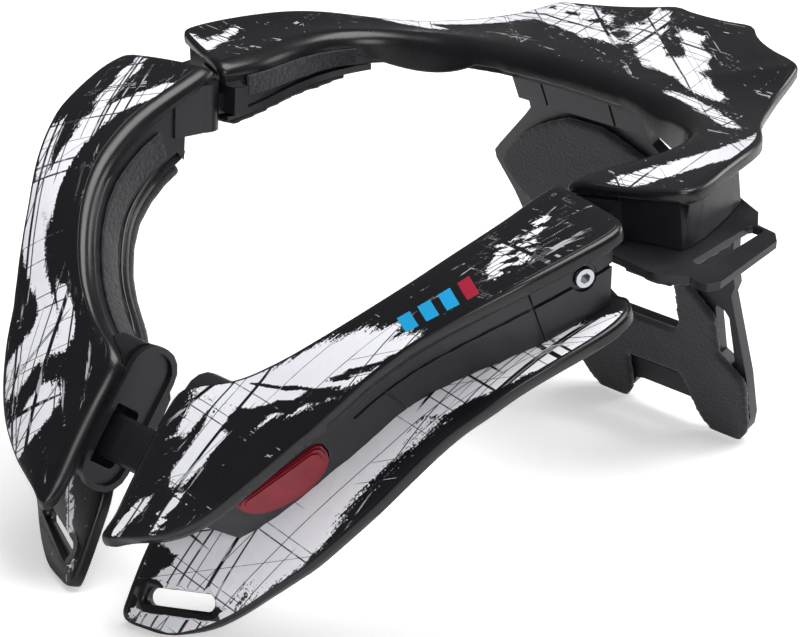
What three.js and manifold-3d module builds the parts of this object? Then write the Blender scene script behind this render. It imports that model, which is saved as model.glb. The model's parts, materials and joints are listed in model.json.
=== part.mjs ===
// Motocross neck brace: hinged front arms, horseshoe rear body, back frame.
// Units are millimetres, +Z up. The wearer faces -Y and +X is the wearer's left.
import * as THREE from "three";
import { mergeVertices } from "three/addons/utils/BufferGeometryUtils.js";
import Module from "manifold-3d";

const wasm = await Module();
wasm.setup();

// Driving dimensions
const GAP = 0.3; // clearance between neighbouring pieces
const DECK_T = 4.5; // printed cover plates
const TRAY_T = 4.2; // chest plates
const RIM = 1.5; // rounded edge of a cover plate
const ARM_DEPTH = 21.6; // cover plate's top face down to the chest plate
const ARM_END = 97.2; // back end of the moulded arm, ahead of its cover's end
const ARM_INSET = { inner: 1.2, outer: 3.6 }; // arm wall behind the cover's edge
const PAD_T = 4.5; // foam under the chest plates
const STRIP_T = 1.6; // loop strip on the neck side
const SHOULDER = { t: 2.3, z: 119.6, y: 124, rise: 0.18, pad: 3.2 };
const BEAM_W = 15; // rear body's beam behind the pillars
const PILLAR_Y = 157; // back end of the pillars
const PIVOT = { x: 86.4, y: 107, pin: 2, knuckle: 6.8, lug: 4.2 };
const KNUCKLE_Z = [113.6, 130.2];
const LUG_Z = [118.6, 125.6];
const RUN = 0.08; // running clearance round the hinge pins
const BACK = { y: 264, lean: 0.48, pad: 2.8, frame: 4.2 };
const LATCH = { face: 14.2, reach: 16.6, thick: 5, tall: 14.6, at: 27.6, depth: 12.6 };
const BUTTON = { half: 15.5, tall: 13.5, proud: 2.6, tail: 5, travel: 2.5 };
const REST_SHIFT = { y: -132.28, z: 2.895 }; // puts the origin under the middle of the brace

// Left cover plate: inner (neck side) and outer edge points, front tip to rear end
const ARM_DECK = [
  { a: [14.9, -8.9, 29.6], b: [18.2, -8.9, 30.4] },
  { a: [14.0, -7.6, 31.3], b: [23.5, -6.9, 31.4] },
  { a: [13.8, -5.6, 34.2], b: [30.5, -5.2, 33.3] },
  { a: [13.8, -3.9, 36.9], b: [36.5, -3.8, 35.4] },
  { a: [13.7, -2.1, 39.8], b: [42.7, -1.9, 38.6] },
  { a: [13.7, 0.0, 43.2], b: [48.8, 0.3, 43.1] },
  { a: [13.7, 2.6, 47.4], b: [54.1, 3.1, 48.4] },
  { a: [13.7, 5.8, 52.3], b: [58.6, 6.3, 54.2] },
  { a: [13.7, 10.2, 59.0], b: [63.9, 11.0, 61.4] },
  { a: [13.7, 14.0, 64.3], b: [67.4, 14.8, 66.6] },
  { a: [14.6, 18.2, 69.8], b: [70.7, 18.7, 71.6] },
  { a: [18.5, 20.9, 72.8], b: [73.5, 21.3, 75.2] },
  { a: [24.5, 22.6, 74.8], b: [76.2, 24.0, 79.2] },
  { a: [31.0, 24.2, 77.1], b: [79.2, 26.9, 83.6] },
  { a: [36.6, 26.0, 79.9], b: [82.1, 30.0, 88.2] },
  { a: [42.2, 28.2, 83.6], b: [85.4, 33.5, 93.0] },
  { a: [48.4, 31.6, 88.4], b: [88.8, 37.3, 97.7] },
  { a: [55.0, 36.3, 94.4], b: [93.2, 41.8, 103.0] },
  { a: [61.8, 42.4, 101.2], b: [98.5, 47.4, 108.5] },
  { a: [67.8, 49.6, 107.9], b: [103.8, 53.9, 113.7] },
  { a: [72.2, 57.2, 113.6], b: [108.2, 60.4, 118.1] },
  { a: [75.0, 64.9, 118.3], b: [111.8, 67.0, 122.0] },
  { a: [77.2, 73.0, 122.6], b: [114.8, 75.4, 125.8] },
  { a: [78.6, 81.0, 126.1], b: [117.0, 83.3, 129.0] },
  { a: [79.4, 88.4, 129.0], b: [118.4, 89.6, 131.3] },
  { a: [79.7, 94.6, 131.6], b: [118.6, 94.4, 132.9] },
  { a: [79.8, 98.9, 133.4], b: [117.6, 97.6, 134.1] },
  { a: [80.6, 101.6, 134.5], b: [114.6, 99.9, 134.9] },
];
// Left chest plate: front face, bottom edge to rear end
const ARM_TRAY = [
  { a: [18.0, 1.0, -1.7], b: [27.0, 3.1, -1.6] },
  { a: [14.4, 0.3, -0.8], b: [33.0, 5.0, -0.4] },
  { a: [12.8, 0.6, 1.6], b: [39.0, 7.5, 2.2] },
  { a: [12.5, 2.6, 5.8], b: [45.6, 10.8, 6.0] },
  { a: [12.5, 5.0, 11.0], b: [53.0, 15.0, 12.0] },
  { a: [12.7, 8.2, 17.6], b: [60.5, 18.2, 19.4] },
  { a: [13.6, 12.3, 25.4], b: [66.5, 21.2, 25.6] },
  { a: [16.8, 17.0, 33.0], b: [72.6, 24.4, 32.0] },
  { a: [20.0, 22.3, 41.0], b: [80.0, 29.4, 42.0] },
  { a: [23.0, 28.1, 49.4], b: [87.0, 35.4, 52.5] },
  { a: [27.0, 34.4, 57.1], b: [92.5, 41.0, 62.0] },
  { a: [32.5, 40.5, 62.8], b: [98.0, 46.2, 71.0] },
  { a: [40.4, 44.9, 68.8], b: [103.4, 51.0, 78.6] },
  { a: [51.2, 49.7, 75.6], b: [108.5, 56.4, 84.9] },
  { a: [59.2, 54.5, 81.5], b: [113.0, 63.0, 91.2] },
  { a: [67.2, 61.3, 88.8], b: [117.7, 71.4, 97.1] },
  { a: [73.5, 68.9, 94.7], b: [121.3, 79.9, 101.8] },
  { a: [78.0, 77.5, 99.9], b: [123.6, 87.6, 105.6] },
  { a: [81.0, 86.4, 104.6], b: [124.0, 93.6, 108.2] },
  { a: [82.3, 93.3, 107.6], b: [122.4, 98.6, 110.2] },
  { a: [83.4, 97.8, 109.6], b: [117.6, 102.4, 112.0] },
];
// Rear cover plate: neck edge and outer edge, left front corner to the middle
const REAR_DECK = [
  { a: [83.4, 112.2, 135.9], b: [115.6, 122.9, 139.0] },
  { a: [80.4, 113.9, 136.1], b: [118.3, 125.8, 139.6] },
  { a: [79.3, 122.0, 136.8], b: [118.6, 129.8, 140.3] },
  { a: [79.3, 130.0, 137.3], b: [117.3, 136.8, 141.3] },
  { a: [80.6, 139.0, 138.0], b: [114.8, 144.9, 142.3] },
  { a: [81.5, 148.0, 138.8], b: [112.2, 153.1, 143.0] },
  { a: [81.3, 156.5, 139.4], b: [109.3, 161.6, 143.4] },
  { a: [79.9, 163.8, 139.9], b: [105.5, 170.5, 143.3] },
  { a: [77.0, 170.3, 140.3], b: [100.5, 179.0, 142.6] },
  { a: [72.5, 176.3, 140.7], b: [94.0, 187.5, 141.5] },
  { a: [67.0, 181.0, 141.0], b: [87.5, 195.0, 140.7] },
  { a: [60.5, 184.8, 141.3], b: [81.5, 202.7, 140.2] },
  { a: [54.0, 187.8, 141.5], b: [76.0, 211.2, 140.2] },
  { a: [47.0, 189.8, 141.7], b: [70.5, 221.0, 140.6] },
  { a: [41.0, 191.0, 141.8], b: [65.5, 230.5, 141.5] },
  { a: [35.5, 191.9, 141.9], b: [61.5, 239.5, 142.8] },
  { a: [30.5, 192.6, 142.0], b: [58.2, 247.5, 144.7] },
  { a: [26.5, 193.0, 142.0], b: [55.6, 251.8, 146.0] },
  { a: [22.8, 193.4, 142.0], b: [49.4, 255.6, 146.3] },
  { a: [19.5, 193.6, 142.0], b: [42.0, 257.5, 146.9] },
  { a: [16.0, 193.8, 142.0], b: [33.0, 261.4, 147.6] },
  { a: [12.4, 194.0, 142.1], b: [25.0, 266.9, 148.3] },
  { a: [9.0, 194.1, 142.1], b: [17.6, 273.2, 149.0] },
  { a: [5.0, 194.2, 142.1], b: [9.0, 271.6, 149.0] },
  { a: [0.0, 194.3, 142.1], b: [0.0, 271.0, 149.0] },
];
const PILLAR_FRONT = { a: [79.8, 117.6, 136.4], b: [118.4, 125.4, 139.6] };
// Back frame and its pads: half outlines on the leaning plane, x and height
const FRAME_HALF = [
  { x: 31, z: 138 }, { x: 31, z: 124 }, { x: 28.2, z: 121 }, { x: 29, z: 116.5 },
  { x: 33, z: 112.8 }, { x: 43, z: 104.4 }, { x: 52.7, z: 96.2 }, { x: 56.6, z: 92.6 },
  { x: 57.2, z: 89.2 }, { x: 52.8, z: 77 }, { x: 50.8, z: 66.5 }, { x: 47.8, z: 62 },
  { x: 46.6, z: 50 }, { x: 44.6, z: 27 }, { x: 41, z: 8 }, { x: 38, z: 1.4 },
  { x: 34.2, z: -0.4 }, { x: 21.6, z: -0.4 }, { x: 17.6, z: 2.2 }, { x: 15.6, z: 5.6 },
  { x: 11.5, z: 6.6 },
];
const FRAME_ARCH = [
  { x: 16, z: 37.6 }, { x: 20.2, z: 41.5 }, { x: 22.6, z: 52 }, { x: 24.6, z: 61 },
  { x: 22, z: 68 }, { x: 14, z: 72.6 },
];
const FRAME_SIDE_SLOT = [
  { x: 34.4, z: 33.4 }, { x: 38.6, z: 30.4 }, { x: 40.6, z: 31.6 }, { x: 43.8, z: 51.8 },
  { x: 42.6, z: 54.4 }, { x: 39.6, z: 55.6 }, { x: 38.4, z: 54.2 },
];
const PAD_LOW_HALF = [
  { x: 13.4, z: 39.4 }, { x: 17.8, z: 40.6 }, { x: 20, z: 45 }, { x: 23.2, z: 62.6 },
  { x: 25, z: 65.2 }, { x: 28.2, z: 64.8 }, { x: 38.8, z: 51.6 }, { x: 36, z: 35.2 },
  { x: 44.6, z: 26.4 }, { x: 45, z: 23.6 }, { x: 40.8, z: 5.4 }, { x: 38.8, z: 1.4 },
  { x: 34.6, z: -2.9 }, { x: 21.2, z: -2.9 }, { x: 17.8, z: 0.6 }, { x: 16, z: 4.4 },
  { x: 13.4, z: 19.4 },
];
const PAD_TOP_HALF = [
  { x: 8, z: 118.6 }, { x: 17, z: 115.4 }, { x: 27, z: 110.8 }, { x: 36.5, z: 105 },
  { x: 46.4, z: 96.6 }, { x: 50.6, z: 92 }, { x: 50.8, z: 88 }, { x: 45.2, z: 79.2 },
  { x: 40, z: 75.4 }, { x: 12, z: 77 },
];
// Shoulder plate outline, seen from above, and its strap slot
const SHOULDER_OUTLINE = [
  [81.2, 115.6], [99, 113.8], [116, 111.4], [120.6, 111.6], [125.4, 114.4], [129, 115.8],
  [133, 114.6], [136.2, 115], [138, 118.6], [133.6, 148.4], [129.8, 152.2], [122, 153.6],
  [119.4, 156.8], [116.4, 160.4], [104, 165.8], [92, 171.6], [82, 175.8], [75.2, 176.2],
  [78.2, 170.6], [81, 163.8], [82.5, 156.5], [82.7, 148], [81.8, 139], [80.5, 130],
  [80.5, 122],
];
const SHOULDER_SLOT = [
  [122.4, 124.6], [123.6, 123.4], [127, 123.4], [128.2, 124.8], [126.2, 151],
  [125, 152], [121.4, 152], [120.6, 150.8],
];
const SHOULDER_PAD = [
  [83.4, 119.4], [99, 117.6], [115, 115.4], [119.6, 116], [124, 118.6], [126, 119.8],
  [119.2, 126], [117.4, 151], [113.6, 158.8], [103, 163.4], [91, 169.2], [83.4, 171.4],
  [83.8, 163.8], [84.8, 156.5], [85, 148], [84.1, 139], [82.8, 130], [82.6, 122],
];

const mirrored = (body) => body.mirror([1, 0, 0]);
const V = (p) => new THREE.Vector3(...p);

function solid(geometry) {
  const g = new THREE.BufferGeometry();
  const flat = geometry.index ? geometry.toNonIndexed() : geometry;
  g.setAttribute("position", flat.getAttribute("position").clone());
  const m = mergeVertices(g, 1e-3);
  return new wasm.Manifold(
    new wasm.Mesh({
      numProp: 3,
      vertProperties: new Float32Array(m.attributes.position.array),
      triVerts: new Uint32Array(m.index.array),
    }),
  );
}

function fromTriangles(points, faces) {
  const g = new THREE.BufferGeometry();
  g.setAttribute("position", new THREE.Float32BufferAttribute(points.flatMap((p) => [p.x, p.y, p.z]), 3));
  g.setIndex(faces);
  return solid(g);
}

// A closed body through rings of equal length, each ring convex.
function loft(rings) {
  const n = rings[0].length;
  const faces = [];
  for (let i = 0; i + 1 < rings.length; i++)
    for (let j = 0; j < n; j++) {
      const a = i * n + j, b = i * n + ((j + 1) % n);
      faces.push(a, b + n, b, a, a + n, b + n);
    }
  const last = (rings.length - 1) * n;
  for (let j = 1; j + 1 < n; j++) {
    faces.push(0, j, j + 1);
    faces.push(last, last + j + 1, last + j);
  }
  return fromTriangles(rings.flat(), faces);
}

// Frames along a table of edge pairs: across, up, and the two edge points.
function frames(table) {
  const mid = table.map((s) => V(s.a).add(V(s.b)).multiplyScalar(0.5));
  return table.map((s, i) => {
    const across = V(s.b).sub(V(s.a)).normalize();
    const along = mid[Math.min(i + 1, mid.length - 1)].clone().sub(mid[Math.max(i - 1, 0)]);
    const up = across.clone().cross(along).normalize();
    return { a: V(s.a), b: V(s.b), across, up, width: V(s.a).distanceTo(V(s.b)) };
  });
}

// A plate along a table: top and bottom are heights from the face, insets run from each edge.
function ribbon(table, { top = 0, bottom, rim = RIM, inner = 0, outer = 0, width = null }) {
  const rings = frames(table).map((f) => {
    const end = width === null ? f.width - outer : Math.min(f.width - outer, inner + width);
    const e = Math.min(rim, (top - bottom) * 0.45, (end - inner) * 0.4);
    const at = (s, h) => f.a.clone().addScaledVector(f.across, s).addScaledVector(f.up, h);
    const q = e * 0.3;
    if (rim === 0) return [at(inner, top), at(inner, bottom), at(end, bottom), at(end, top)];
    return [
      at(inner + e, top), at(inner + q, top - q), at(inner, top - e),
      at(inner, bottom + e), at(inner + e, bottom), at(end - e, bottom),
      at(end, bottom + e), at(end, top - e), at(end - q, top - q), at(end - e, top),
    ];
  });
  return loft(rings);
}

// A straight prism over an outline, its face points moved by a function of (u, v, w).
function prism(outline, w0, w1, place) {
  const shape = new THREE.Shape(outline.map((p) => new THREE.Vector2(p[0], p[1])));
  const g = new THREE.ExtrudeGeometry(shape, { depth: w1 - w0, bevelEnabled: false, steps: 1 });
  const pos = g.getAttribute("position");
  for (let i = 0; i < pos.count; i++) {
    const p = place(pos.getX(i), pos.getY(i), pos.getZ(i) + w0);
    pos.setXYZ(i, p.x, p.y, p.z);
  }
  const m = solid(g);
  return m.volume() < 0 ? solid(flipped(g)) : m;
}

function flipped(g) {
  const flat = g.index ? g.toNonIndexed() : g.clone();
  const p = flat.getAttribute("position").array;
  for (let i = 0; i < p.length; i += 9)
    for (let k = 0; k < 3; k++) [p[i + 3 + k], p[i + 6 + k]] = [p[i + 6 + k], p[i + 3 + k]];
  return flat;
}

function box(min, max) {
  const g = new THREE.BoxGeometry(max[0] - min[0], max[1] - min[1], max[2] - min[2]);
  g.translate((min[0] + max[0]) / 2, (min[1] + max[1]) / 2, (min[2] + max[2]) / 2);
  return solid(g);
}

function upright(x, y, r, z0, z1, sides = 40) {
  const g = new THREE.CylinderGeometry(r, r, z1 - z0, sides);
  g.rotateX(Math.PI / 2);
  g.translate(x, y, (z0 + z1) / 2);
  return solid(g);
}

// A basis-placed prism: outline in (u, v), thickness along w.
const placed = (origin, u, v, w) => (a, b, c) =>
  origin.clone().addScaledVector(u, a).addScaledVector(v, b).addScaledVector(w, c);

const mirrorTable = (rows) =>
  rows.slice(0, -1).reverse().map((s) => ({ a: [-s.a[0], s.a[1], s.a[2]], b: [-s.b[0], s.b[1], s.b[2]] }));
const REAR_LOOP = [...REAR_DECK, ...mirrorTable(REAR_DECK)];

// The leaning plane of the back frame: x, height on the plane's face, distance in front of it
const LEAN = Math.hypot(1, BACK.lean);
const onBack = (x, z, w) =>
  new THREE.Vector3(x, BACK.y - BACK.lean * z - w / LEAN, z - (w * BACK.lean) / LEAN);
const both = (half) => [...half.map((p) => [p.x, p.z]), ...half.slice().reverse().map((p) => [-p.x, p.z])];

function halfSpaceUnder(y0, z0, rise, size = 400) {
  return prism(
    [[-size, -size], [size, -size], [size, size], [-size, size]], -size, 0,
    (u, v, w) => new THREE.Vector3(u, v, z0 + rise * (v - y0) + w),
  );
}

// Room for a chest plate, from its face down or up
const trayRoom = (top, bottom) => ribbon(ARM_TRAY, { top, bottom, rim: 0, inner: -1.2, outer: -1.2 });

// Room for a cover plate, with its clearance below
const roof = (table) => ribbon(table, { top: 4, bottom: -DECK_T - GAP, rim: 0, inner: -0.5, outer: -0.5 });

// Rear body
function rearDeck() {
  return ribbon(REAR_LOOP, { bottom: -DECK_T });
}

function rearFrame() {
  const beam = ribbon(REAR_LOOP, { bottom: -32, rim: 0, inner: 1, width: BEAM_W });
  const rows = [PILLAR_FRONT, ...REAR_DECK.filter((s) => s.b[1] > 127 && s.b[1] < PILLAR_Y + 5)];
  const left = ribbon(rows, { bottom: -34, rim: 3, inner: 3.6, outer: 3.6 });
  const right = left.mirror([1, 0, 0]);
  let body = beam.add(left).add(right).add(backRoot());
  const floor = SHOULDER.z + GAP;
  body = body.subtract(halfSpaceUnder(SHOULDER.y, floor, SHOULDER.rise));
  body = body.subtract(roof(REAR_LOOP));
  for (const side of [1, -1]) {
    body = body.subtract(upright(side * PIVOT.x, PIVOT.y, PIVOT.knuckle + 0.6, 90, 150));
    body = body.add(lug(side));
  }
  return body;
}

// Shallow body behind the neck edge that carries the back frame
function backRoot() {
  const rows = REAR_LOOP.filter((s) => Math.abs(s.a[0]) <= 36);
  return ribbon(rows, { bottom: -9.5, rim: 1.6, inner: 2, width: 34 });
}

// The lug of the rear frame stands in the slot of the arm's knuckle
function lug(side) {
  const x = side * PIVOT.x;
  const [z0, z1] = LUG_Z;
  const bar = box([x - PIVOT.lug, PIVOT.y, z0], [x + PIVOT.lug, 119.5, z1]);
  const foot = box([x - PIVOT.lug, 114.6, z0 + 0.4], [x + PIVOT.lug + 6, 120.4, z1 + 3]);
  return upright(x, PIVOT.y, PIVOT.lug, z0, z1).add(bar).add(foot).subtract(upright(x, PIVOT.y, PIVOT.pin + RUN, 100, 140));
}

function shoulder(outline, top, bottom, slot) {
  const at = (u, v, w) =>
    new THREE.Vector3(u, v, SHOULDER.z + SHOULDER.rise * (v - SHOULDER.y) + w);
  const plate = prism(outline, bottom, top, at);
  return slot ? plate.subtract(prism(slot, bottom - 2, top + 2, at)) : plate;
}

// The plate gives way to the knuckle and the lug
function shoulderPlate() {
  const clear = upright(PIVOT.x, PIVOT.y, PIVOT.knuckle + 0.6, 90, 150)
    .add(box([PIVOT.x - 9, 100, LUG_Z[0] - 1.2], [PIVOT.x + 11, 121, 140]));
  return shoulder(SHOULDER_OUTLINE, 0, -SHOULDER.t, SHOULDER_SLOT).subtract(clear);
}

function shoulderPad() {
  const clear = upright(PIVOT.x, PIVOT.y, PIVOT.knuckle + 1.2, 90, 150);
  const top = -SHOULDER.t - GAP;
  return shoulder(SHOULDER_PAD, top, top - SHOULDER.pad, null).subtract(clear);
}

// Back frame and pads
function backFrame() {
  const w1 = -BACK.pad - GAP;
  const w0 = w1 - BACK.frame;
  let plate = prism(both(FRAME_HALF), w0, w1, onBack);
  plate = plate.add(prism([[-30.4, 121.6], [30.4, 121.6], [30.4, 138], [-30.4, 138]], w1 - 0.5, -0.6, onBack));
  const holes = [
    both(FRAME_ARCH.slice()),
    [[-13, 16.2], [13, 16.2], [14.6, 17.6], [14.6, 20.6], [13, 21.8], [-13, 21.8], [-14.6, 20.6], [-14.6, 17.6]],
    FRAME_SIDE_SLOT.map((p) => [p.x, p.z]),
    FRAME_SIDE_SLOT.map((p) => [-p.x, p.z]).reverse(),
  ];
  for (const h of holes) plate = plate.subtract(prism(h, w0 - 3, 3, onBack));
  for (const x of [-16, 16])
    plate = plate.subtract(prism([[x - 0.5, 121], [x + 0.5, 121], [x + 0.5, 140], [x - 0.5, 140]], -1.8, 2, onBack));
  // Its top edge meets the underside of the rear frame
  return plate.intersect(halfSpaceUnder(SHOULDER.y, SHOULDER.z, SHOULDER.rise));
}

const backPad = (half) => prism(both(half), -BACK.pad, 0, onBack);

// Front arms, built for the left side
function armBody() {
  let body = ribbon(ARM_DECK.slice(5), {
    bottom: -ARM_DEPTH - 8, rim: 0, inner: ARM_INSET.inner, outer: ARM_INSET.outer,
  });
  body = body.subtract(box([0, ARM_END, 60], [160, 160, 160]));
  body = body.subtract(box([-20, -60, -20], [LATCH.face + 1.2, 140, 160]));
  const [z0, z1] = KNUCKLE_Z;
  const k = PIVOT.knuckle;
  const tower = upright(PIVOT.x, PIVOT.y, k, z0, z1);
  const neck = box([PIVOT.x - k + 0.5, 92, z0], [PIVOT.x + k - 0.5, PIVOT.y, z1]);
  const slot = box(
    [PIVOT.x - PIVOT.lug - 0.3, PIVOT.y - PIVOT.lug - 0.5, LUG_Z[0] - GAP],
    [PIVOT.x + 14, PIVOT.y + 14, LUG_Z[1] + GAP],
  );
  body = body.add(endBoss()).subtract(trayRoom(GAP, -16));
  body = body.add(tower).add(neck).subtract(slot).subtract(roof(ARM_DECK));
  return largest(body.subtract(upright(PIVOT.x, PIVOT.y, PIVOT.pin + 0.05, 100, 140)));
}

// Rounded boss of the arm's front end, behind the latch
const endBoss = () => latchPrism(12, 58.4, 3, 24.4, LATCH.face + 1.2, LATCH.face + 13, 8.5);

function largest(body) {
  return body.decompose().sort((p, q) => q.volume() - p.volume())[0];
}

// Split line and cross lines of the moulded arm, cut into its outer wall
function armGrooves() {
  const long = ribbon(ARM_DECK.slice(13, 27), { top: -10.6, bottom: -11.7, rim: 0 });
  const keep = ribbon(ARM_DECK.slice(12), { top: -5, bottom: -17, rim: 0, inner: -5, outer: ARM_INSET.outer + 1 });
  let cut = long.subtract(keep);
  for (const [i, lo, hi] of [[15, -24, -11], [21, -24, -6]]) {
    const [p, q] = [ARM_DECK[i], ARM_DECK[i + 1]];
    const mix = (u, v, t) => u.map((k, n) => k + (v[n] - k) * t);
    const pair = [0, 0.14].map((t) => ({ a: mix(p.a, q.a, t), b: mix(p.b, q.b, t) }));
    const full = ribbon(pair, { top: hi, bottom: lo, rim: 0, inner: 0, outer: 0 });
    const wide = [-0.1, 0.3].map((t) => ({ a: mix(p.a, q.a, t), b: mix(p.b, q.b, t) }));
    cut = cut.add(full.subtract(
      ribbon(wide, { top: hi + 2, bottom: lo - 2, rim: 0, inner: -5, outer: ARM_INSET.outer + 1 }),
    ));
  }
  return largest(cut);
}

const armDeck = () => ribbon(ARM_DECK, { bottom: -DECK_T });

function chestPlate() {
  const plate = ribbon(ARM_TRAY, { bottom: -TRAY_T, rim: 1.4 });
  const [o, u, v, w] = slotFrame();
  const r = 2.7, L = 13;
  const outline = [];
  for (const [cx, a0] of [[L - r, -Math.PI / 2], [-L + r, Math.PI / 2]])
    for (let k = 0; k <= 6; k++) {
      const a = a0 + (Math.PI * k) / 6;
      outline.push([cx + r * Math.cos(a), r * Math.sin(a)]);
    }
  return plate.subtract(prism(outline, -12, 8, placed(o, u, v, w)));
}

// Middle and directions of the chest plate's strap slot
function slotFrame() {
  const o = new THREE.Vector3(31, 9.2, 9.6);
  const w = new THREE.Vector3(0.22, -0.886, 0.41).normalize();
  const u = new THREE.Vector3(23.4, 7.6, 4).normalize();
  const v = w.clone().cross(u).normalize();
  return [o, u, v, w];
}

function chestPad() {
  const rows = ARM_TRAY.slice(7, 20);
  const pad = ribbon(rows, { top: -TRAY_T, bottom: -TRAY_T - GAP - PAD_T, rim: 1.6, inner: 0.6, outer: 12 });
  return largest(pad.subtract(trayRoom(4, -TRAY_T - GAP)));
}

// Loop strip on the arm's neck-side wall
function loopStrip() {
  return ribbon(ARM_DECK.slice(13, 24), {
    top: -10, bottom: -19.4, rim: 0.5, inner: ARM_INSET.inner - GAP - STRIP_T, width: STRIP_T,
  });
}

function rearLoop() {
  const rows = REAR_DECK.slice(2, 9);
  return ribbon(rows, { top: -5.4, bottom: -12.6, rim: 0.5, inner: 0.5 - GAP - STRIP_T, width: STRIP_T })
    .subtract(halfSpaceUnder(SHOULDER.y, SHOULDER.z + 2, SHOULDER.rise));
}

// Release button: frame on the left arm's outer wall
function buttonFrame() {
  const out = new THREE.Vector3(0.867, -0.348, -0.343).normalize();
  const t = new THREE.Vector3(0.49, 0.6, 0.63).normalize();
  const down = t.clone().cross(out).normalize();
  if (down.z > 0) down.negate();
  t.crossVectors(down, out).normalize();
  if (t.y < 0) t.negate();
  const o = new THREE.Vector3(64.4, 16.8, 59.4).addScaledVector(out, -ARM_INSET.outer);
  return { o, t, down, out };
}

function lens(half, tall, top) {
  const pts = [[-half, top], [-half + 1.5, top - 1.4], [half - 1.5, top - 1.4], [half, top]];
  const n = 14;
  for (let k = 1; k < n; k++) {
    const a = (Math.PI * k) / n;
    pts.push([half * Math.cos(a), top + (tall - top) * Math.sin(a) ** 0.8]);
  }
  return pts;
}

function button(grow, w0, w1) {
  const f = buttonFrame();
  return prism(lens(BUTTON.half + grow, BUTTON.tall + grow + 1.5, 3 - grow * 0.4), w0, w1, placed(f.o, f.t, f.down, f.out));
}

// Domed cap of the button: shrinking lenses one on another
function releaseButton() {
  let cap = button(0, -BUTTON.tail, BUTTON.proud - 1.2);
  for (const [shrink, h] of [[0.8, 0.5], [2.2, 0]])
    cap = cap.add(button(-shrink, -BUTTON.tail, BUTTON.proud - h));
  return cap;
}

// Hex screw in the arm's outer wall near the hinge
function screwFrame() {
  const out = new THREE.Vector3(0.955, -0.28, -0.1).normalize();
  const o = new THREE.Vector3(117.6, 86.2, 119.2).addScaledVector(out, -ARM_INSET.outer);
  return { o, out };
}

function turned(frame, r, w0, w1, sides = 32) {
  const g = new THREE.CylinderGeometry(r, r, w1 - w0, sides);
  g.translate(0, (w0 + w1) / 2, 0);
  g.applyQuaternion(new THREE.Quaternion().setFromUnitVectors(new THREE.Vector3(0, 1, 0), frame.out));
  g.translate(frame.o.x, frame.o.y, frame.o.z);
  return solid(g);
}

function hexScrew() {
  const f = screwFrame();
  return turned(f, 2.9, -9, 0.6).subtract(turned(f, 1.7, -2.6, 4, 6));
}

// Latch: a tongue on the left arm enters the opening of the right arm's receiver
const SLOPE = new THREE.Vector3(0, 0.56, 0.83).normalize();
const NORMAL = new THREE.Vector3(0, -0.83, 0.56).normalize();
const MEDIAL = new THREE.Vector3(0, -8.4, 29.9);

function latchPrism(u0, u1, d0, d1, x0, x1, round) {
  const r = round;
  const pts = [];
  for (const [cu, cd, a0] of [[u1 - r, -d0 - r, 0], [u0 + r, -d0 - r, 1], [u0 + r, -d1 + r, 2], [u1 - r, -d1 + r, 3]])
    for (let k = 0; k <= 4; k++) {
      const a = ((a0 + k / 4) * Math.PI) / 2;
      pts.push([cu + r * Math.cos(a), cd + r * Math.sin(a)]);
    }
  return prism(pts, x0, x1, (u, d, x) =>
    MEDIAL.clone().setX(x).addScaledVector(SLOPE, u).addScaledVector(NORMAL, d));
}

const tongueU = [LATCH.at - LATCH.tall / 2, LATCH.at + LATCH.tall / 2];

function latchTongue() {
  const d = LATCH.depth;
  const h = LATCH.thick / 2;
  const stem = latchPrism(tongueU[0], tongueU[1], d - h, d + h, -LATCH.reach, LATCH.face + 1.2 - GAP, 1.6);
  return stem;
}

function receiver() {
  const d = LATCH.depth;
  const x = -LATCH.face;
  const plate = latchPrism(10, 59, 4.9, 24.2, x - 1.2 + GAP, x + 1.6, 8.8);
  const recess = latchPrism(12, 57, 6.9, 22.2, x + 0.2, x + 4, 7);
  return plate.subtract(mirrored(trayRoom(GAP, -16))).subtract(recess).subtract(latchPrism(tongueU[0] - 2.6, tongueU[1] + 2.6, d - 5.8, d + 5.8, x - 4, x + 4, 2));
}

const receiverPocket = () =>
  latchPrism(tongueU[0] - 2.6, tongueU[1] + 2.6, LATCH.depth - 5.8, LATCH.depth + 5.8, -LATCH.face - 7, -LATCH.face + 4, 2);

// Colours for the quick look
const COLOR = {
  plastic: 0x17171b, print: 0xd9d9e2, foam: 0x2c2c31, strip: 0x3a3a40,
  red: 0x9b1b30, steel: 0xb9bcc2,
};

const root = new THREE.Group();
function add(name, body, color) {
  const m = body.translate([0, REST_SHIFT.y, REST_SHIFT.z]).getMesh();
  const n = m.numProp;
  const pos = new Float32Array(m.numVert * 3);
  for (let i = 0; i < m.numVert; i++) pos.set(m.vertProperties.subarray(i * n, i * n + 3), i * 3);
  const g = new THREE.BufferGeometry();
  g.setAttribute("position", new THREE.BufferAttribute(pos, 3));
  g.setIndex(new THREE.BufferAttribute(new Uint32Array(m.triVerts), 1));
  const mesh = new THREE.Mesh(g, new THREE.MeshStandardMaterial({ color }));
  mesh.name = name;
  root.add(mesh);
}

add("rear_cover", rearDeck(), COLOR.print);
add("rear_frame", rearFrame(), COLOR.plastic);
const plate = shoulderPlate();
const pad = shoulderPad();
const loop = rearLoop();
add("left_shoulder_plate", plate, COLOR.plastic);
add("right_shoulder_plate", mirrored(plate), COLOR.plastic);
add("left_shoulder_pad", pad, COLOR.foam);
add("right_shoulder_pad", mirrored(pad), COLOR.foam);
add("left_rear_loop_patch", loop, COLOR.strip);
add("right_rear_loop_patch", mirrored(loop), COLOR.strip);
add("back_frame", backFrame(), COLOR.plastic);
add("upper_back_pad", backPad(PAD_TOP_HALF), COLOR.foam);
add("lower_back_pad", backPad(PAD_LOW_HALF), COLOR.foam);

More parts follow.
